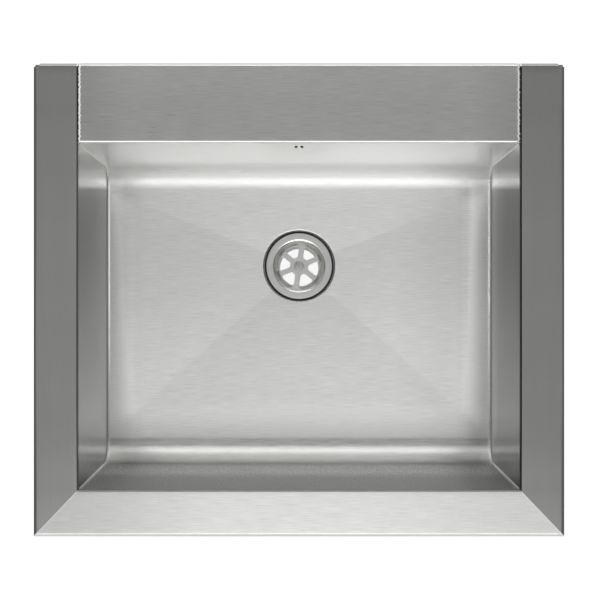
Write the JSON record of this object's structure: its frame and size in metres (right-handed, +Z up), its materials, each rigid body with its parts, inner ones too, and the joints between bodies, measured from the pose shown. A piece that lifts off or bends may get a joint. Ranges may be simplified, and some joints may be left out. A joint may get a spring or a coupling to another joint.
{
  "type": "inset kitchen sink",
  "caption": "Stainless steel inset sink with a folded, welded bowl, tap ledge at the back, strainer waste, overflow and swing-out worktop clips.",
  "frame": {"origin": "middle of the rim's outline, in the plane of the worktop's top face", "axes": "+Z up out of the bowl, +Y towards the tap ledge at the back, +X to the right"},
  "size_m": [0.493, 0.44, 0.299],
  "materials": {
    "brushed_steel": "brushed",
    "polished_steel": "polished",
    "zinc": "zinc plated",
    "brass": "turned",
    "foam": "closed-cell foam",
    "pad_rubber": "matt",
    "black_rubber": "matt",
    "white_plastic": "moulded",
    "grey_plastic": "moulded"
  },
  "bodies": {
    "sink": {"centre_sheet": "brushed_steel", "left_sheet": "brushed_steel", "right_sheet": "brushed_steel", "rim_seal": "foam", "floor_pad": "pad_rubber", "side_pads": "pad_rubber", "strainer": "polished_steel", "strainer_screw": "polished_steel", "flange_gasket": "black_rubber", "body_gasket": "black_rubber", "waste_body": "white_plastic", "waste_insert": "brass", "overflow_gasket": "black_rubber", "overflow_housing": "grey_plastic", "overflow_studs": "zinc", "overflow_nuts": "zinc", "overflow_hose": "grey_plastic", "upper_hose_nut": "white_plastic", "lower_hose_nut": "white_plastic", "clip_brackets": "zinc", "clip_nuts": "zinc"},
    "clip_1_screw": {"clip_screw_1": "zinc"},
    "clip_1_claw": {"clip_claw_1": "zinc"},
    "clip_2_screw": {"clip_screw_2": "zinc"},
    "clip_2_claw": {"clip_claw_2": "zinc"},
    "clip_3_screw": {"clip_screw_3": "zinc"},
    "clip_3_claw": {"clip_claw_3": "zinc"},
    "clip_4_screw": {"clip_screw_4": "zinc"},
    "clip_4_claw": {"clip_claw_4": "zinc"},
    "clip_5_screw": {"clip_screw_5": "zinc"},
    "clip_5_claw": {"clip_claw_5": "zinc"},
    "clip_6_screw": {"clip_screw_6": "zinc"},
    "clip_6_claw": {"clip_claw_6": "zinc"},
    "clip_7_screw": {"clip_screw_7": "zinc"},
    "clip_7_claw": {"clip_claw_7": "zinc"},
    "clip_8_screw": {"clip_screw_8": "zinc"},
    "clip_8_claw": {"clip_claw_8": "zinc"}
  },
  "joints": [
    {"name": "clip_1_tighten", "type": "slide", "parent": "sink", "child": "clip_1_screw", "axis": [0, 0, 1], "range_m": [0, 0.025]},
    {"name": "clip_1_swing", "type": "hinge", "parent": "clip_1_screw", "child": "clip_1_claw", "pos_m": [0.221, 0.11, -0.057], "axis": [0, 0, 1], "range_deg": [0, 90]},
    {"name": "clip_2_tighten", "type": "slide", "parent": "sink", "child": "clip_2_screw", "axis": [0, 0, 1], "range_m": [0, 0.025]},
    {"name": "clip_2_swing", "type": "hinge", "parent": "clip_2_screw", "child": "clip_2_claw", "pos_m": [0.221, -0.11, -0.057], "axis": [0, 0, 1], "range_deg": [0, 90]},
    {"name": "clip_3_tighten", "type": "slide", "parent": "sink", "child": "clip_3_screw", "axis": [0, 0, 1], "range_m": [0, 0.025]},
    {"name": "clip_3_swing", "type": "hinge", "parent": "clip_3_screw", "child": "clip_3_claw", "pos_m": [-0.12, 0.1945, -0.057], "axis": [0, 0, 1], "range_deg": [0, 90]},
    {"name": "clip_4_tighten", "type": "slide", "parent": "sink", "child": "clip_4_screw", "axis": [0, 0, 1], "range_m": [0, 0.025]},
    {"name": "clip_4_swing", "type": "hinge", "parent": "clip_4_screw", "child": "clip_4_claw", "pos_m": [0.12, 0.1945, -0.057], "axis": [0, 0, 1], "range_deg": [0, 90]},
    {"name": "clip_5_tighten", "type": "slide", "parent": "sink", "child": "clip_5_screw", "axis": [0, 0, 1], "range_m": [0, 0.025]},
    {"name": "clip_5_swing", "type": "hinge", "parent": "clip_5_screw", "child": "clip_5_claw", "pos_m": [-0.221, 0.11, -0.057], "axis": [0, 0, 1], "range_deg": [0, 90]},
    {"name": "clip_6_tighten", "type": "slide", "parent": "sink", "child": "clip_6_screw", "axis": [0, 0, 1], "range_m": [0, 0.025]},
    {"name": "clip_6_swing", "type": "hinge", "parent": "clip_6_screw", "child": "clip_6_claw", "pos_m": [-0.221, -0.11, -0.057], "axis": [0, 0, 1], "range_deg": [0, 90]},
    {"name": "clip_7_tighten", "type": "slide", "parent": "sink", "child": "clip_7_screw", "axis": [0, 0, 1], "range_m": [0, 0.025]},
    {"name": "clip_7_swing", "type": "hinge", "parent": "clip_7_screw", "child": "clip_7_claw", "pos_m": [-0.12, -0.1945, -0.057], "axis": [0, 0, 1], "range_deg": [0, 90]},
    {"name": "clip_8_tighten", "type": "slide", "parent": "sink", "child": "clip_8_screw", "axis": [0, 0, 1], "range_m": [0, 0.025]},
    {"name": "clip_8_swing", "type": "hinge", "parent": "clip_8_screw", "child": "clip_8_claw", "pos_m": [0.12, -0.1945, -0.057], "axis": [0, 0, 1], "range_deg": [0, 90]}
  ]
}
